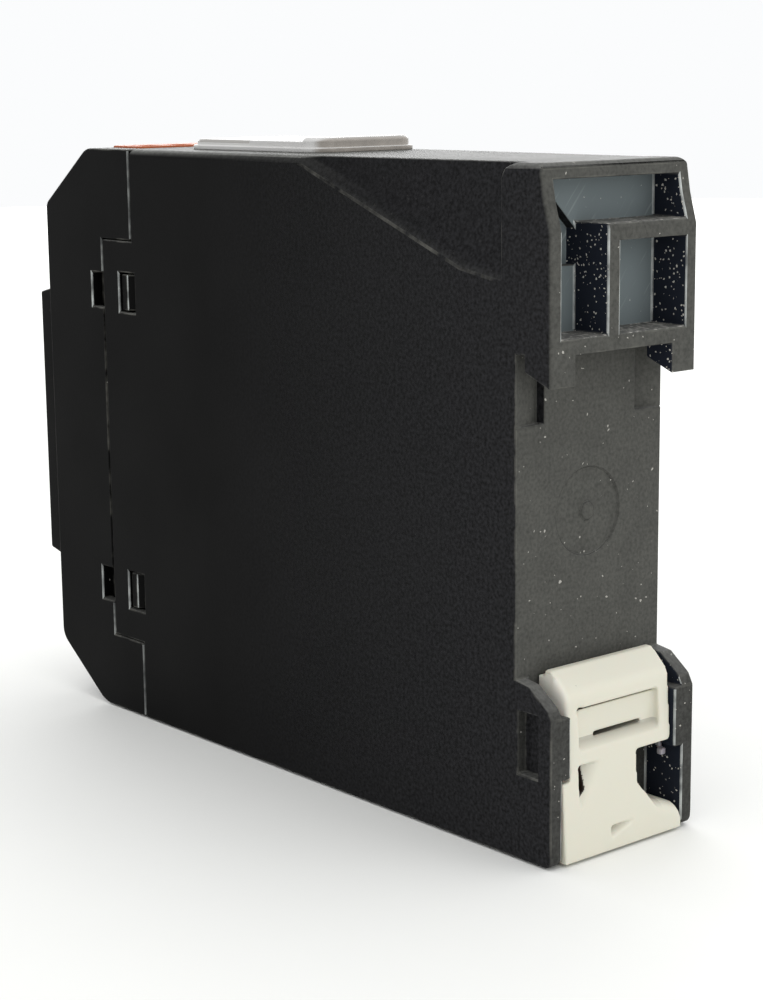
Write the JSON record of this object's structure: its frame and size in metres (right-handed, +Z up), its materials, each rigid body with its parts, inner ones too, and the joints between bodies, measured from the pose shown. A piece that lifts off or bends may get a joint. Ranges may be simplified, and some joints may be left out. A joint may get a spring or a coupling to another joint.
{
  "type": "star-delta timer relay",
  "caption": "Slim rail-mounted star-delta timer relay with a hooked rear housing, sliding rail clip, screw terminals, lamps and a time-setting knob.",
  "frame": {"origin": "middle of the rail seat on the rear wall, at mid width and mid height", "axes": "+X across the width, -Y to the front panel, +Z up"},
  "size_m": [0.0226, 0.1017, 0.0768],
  "materials": {
    "black_abs": "fine-grained satin moulding",
    "grey_plate": "satin moulding",
    "white_nylon": "smooth moulding",
    "orange_pa": "satin moulding",
    "tinned_brass": "tinned",
    "zinc_steel": "zinc plated",
    "board": "solder mask",
    "relay_case": "smooth",
    "film_case": "smooth",
    "can_sleeve": "shrink sleeve",
    "epoxy": "moulded epoxy",
    "resistor_lacquer": "lacquer",
    "varistor_coat": "dipped coat",
    "pot_case": "moulded",
    "shaft": "moulded",
    "knob": "satin moulding",
    "green_lens": "clear tinted",
    "yellow_lens": "clear tinted",
    "red_lens": "clear tinted",
    "tinned_wire": "tinned",
    "header": "moulded"
  },
  "bodies": {
    "enclosure": {"rear_housing": "black_abs", "front_cover": "black_abs", "front_panel": "black_abs", "top_cover_plate": "grey_plate", "upper_terminal_block": "orange_pa", "lower_terminal_block": "orange_pa", "contact_tabs_upper": "tinned_brass", "contact_tabs_lower": "tinned_brass", "terminal_board": "board", "display_board": "board", "main_board": "board", "star_relay": "relay_case", "delta_relay": "relay_case", "dropper_capacitor": "film_case", "filter_capacitor": "can_sleeve", "rectifier_diodes": "epoxy", "timer_ic": "epoxy", "driver_transistors": "epoxy", "resistors": "resistor_lacquer", "varistor": "varistor_coat", "potentiometer": "pot_case", "power_led": "green_lens", "star_led": "yellow_lens", "delta_led": "red_lens", "led_leads": "tinned_wire", "header_pins": "tinned_wire", "header_strip": "header"},
    "clip": {"din_clip": "white_nylon"},
    "knob": {"time_knob": "knob", "pot_shaft": "shaft"},
    "screw_1": {"terminal_screw_1": "zinc_steel"},
    "cage_1": {"clamp_cage_1": "zinc_steel"},
    "screw_2": {"terminal_screw_2": "zinc_steel"},
    "cage_2": {"clamp_cage_2": "zinc_steel"},
    "screw_3": {"terminal_screw_3": "zinc_steel"},
    "cage_3": {"clamp_cage_3": "zinc_steel"},
    "screw_4": {"terminal_screw_4": "zinc_steel"},
    "cage_4": {"clamp_cage_4": "zinc_steel"},
    "screw_5": {"terminal_screw_5": "zinc_steel"},
    "cage_5": {"clamp_cage_5": "zinc_steel"},
    "screw_6": {"terminal_screw_6": "zinc_steel"},
    "cage_6": {"clamp_cage_6": "zinc_steel"}
  },
  "joints": [
    {"name": "clip_slide", "type": "slide", "parent": "enclosure", "child": "clip", "axis": [0, 0, -1], "range_m": [0, 0.004], "stiffness_N_per_m": 400},
    {"name": "knob_turn", "type": "hinge", "parent": "enclosure", "child": "knob", "pos_m": [0, -0.09, -0.0045], "axis": [0, 1, 0], "range_deg": [-140, 140]},
    {"name": "screw_1_turn", "type": "hinge", "parent": "enclosure", "child": "screw_1", "pos_m": [-0.00508, -0.08, 0.0326], "axis": [0, 1, 0], "range_deg": [0, 1080]},
    {"name": "cage_1_slide", "type": "slide", "parent": "enclosure", "child": "cage_1", "axis": [0, -1, 0], "range_m": [0, 0.0015]},
    {"name": "screw_2_turn", "type": "hinge", "parent": "enclosure", "child": "screw_2", "pos_m": [0, -0.08, 0.0326], "axis": [0, 1, 0], "range_deg": [0, 1080]},
    {"name": "cage_2_slide", "type": "slide", "parent": "enclosure", "child": "cage_2", "axis": [0, -1, 0], "range_m": [0, 0.0015]},
    {"name": "screw_3_turn", "type": "hinge", "parent": "enclosure", "child": "screw_3", "pos_m": [0.00508, -0.08, 0.0326], "axis": [0, 1, 0], "range_deg": [0, 1080]},
    {"name": "cage_3_slide", "type": "slide", "parent": "enclosure", "child": "cage_3", "axis": [0, -1, 0], "range_m": [0, 0.0015]},
    {"name": "screw_4_turn", "type": "hinge", "parent": "enclosure", "child": "screw_4", "pos_m": [-0.00508, -0.08, -0.0326], "axis": [0, 1, 0], "range_deg": [0, 1080]},
    {"name": "cage_4_slide", "type": "slide", "parent": "enclosure", "child": "cage_4", "axis": [0, -1, 0], "range_m": [0, 0.0015]},
    {"name": "screw_5_turn", "type": "hinge", "parent": "enclosure", "child": "screw_5", "pos_m": [0, -0.08, -0.0326], "axis": [0, 1, 0], "range_deg": [0, 1080]},
    {"name": "cage_5_slide", "type": "slide", "parent": "enclosure", "child": "cage_5", "axis": [0, -1, 0], "range_m": [0, 0.0015]},
    {"name": "screw_6_turn", "type": "hinge", "parent": "enclosure", "child": "screw_6", "pos_m": [0.00508, -0.08, -0.0326], "axis": [0, 1, 0], "range_deg": [0, 1080]},
    {"name": "cage_6_slide", "type": "slide", "parent": "enclosure", "child": "cage_6", "axis": [0, -1, 0], "range_m": [0, 0.0015]}
  ],
  "couplings": [
    {"joint": "screw_1_turn", "follows": "cage_1_slide", "rad_per_m": 12566},
    {"joint": "screw_2_turn", "follows": "cage_2_slide", "rad_per_m": 12566},
    {"joint": "screw_3_turn", "follows": "cage_3_slide", "rad_per_m": 12566},
    {"joint": "screw_4_turn", "follows": "cage_4_slide", "rad_per_m": 12566},
    {"joint": "screw_5_turn", "follows": "cage_5_slide", "rad_per_m": 12566},
    {"joint": "screw_6_turn", "follows": "cage_6_slide", "rad_per_m": 12566}
  ]
}
